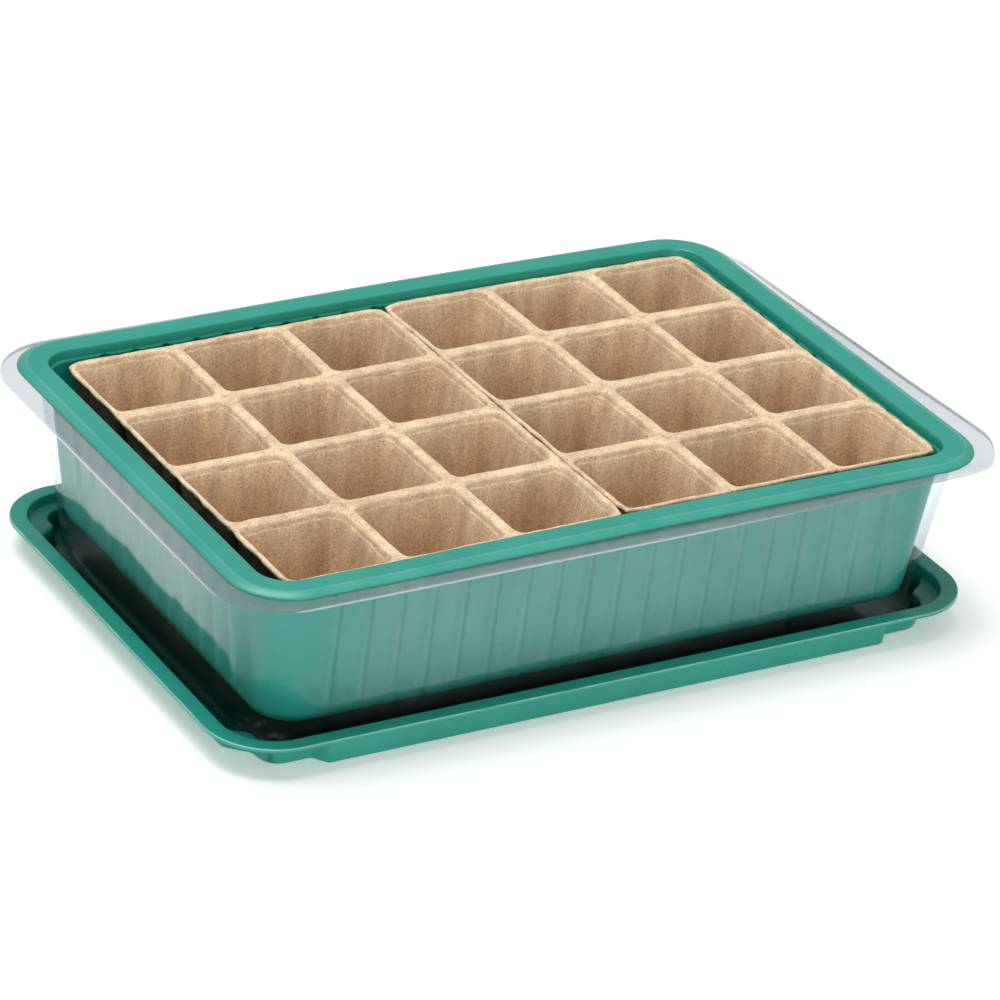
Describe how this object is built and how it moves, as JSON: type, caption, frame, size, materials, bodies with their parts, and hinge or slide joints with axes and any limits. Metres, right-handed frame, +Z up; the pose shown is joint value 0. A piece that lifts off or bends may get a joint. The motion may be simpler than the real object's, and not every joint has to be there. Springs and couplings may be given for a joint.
{
  "type": "humidity dome tray",
  "caption": "Windowsill propagator set: shallow drip tray, clear cover nested upside down, deep ribbed seed tray and moulded fibre pot strips.",
  "frame": {"origin": "on the ground, under the middle of the whole set's box", "axes": "+X along the length of the trays, +Y along their width towards the back, +Z up"},
  "size_m": [0.3796, 0.261, 0.0885],
  "materials": {
    "green_plastic": "satin thermoformed sheet, deep sea green",
    "clear_plastic": "clear thin thermoformed sheet",
    "fibre_pulp": "rough moulded wood and paper fibre"
  },
  "bodies": {
    "base": {"drip_tray": "green_plastic"},
    "dome": {"clear_dome": "clear_plastic"},
    "tray": {"seed_tray": "green_plastic"},
    "strip_left": {"pot_strip_left": "fibre_pulp"},
    "strip_right": {"pot_strip_right": "fibre_pulp"}
  },
  "joints": [
    {"name": "dome_lift", "type": "slide", "parent": "base", "child": "dome", "axis": [0, 0, 1], "range_m": [0, 0.03]},
    {"name": "seed_tray_lift", "type": "slide", "parent": "dome", "child": "tray", "axis": [0, 0, 1], "range_m": [0, 0.09]},
    {"name": "strip_left_lift", "type": "slide", "parent": "tray", "child": "strip_left", "axis": [0, 0, 1], "range_m": [0, 0.075]},
    {"name": "strip_right_lift", "type": "slide", "parent": "tray", "child": "strip_right", "axis": [0, 0, 1], "range_m": [0, 0.075]}
  ]
}
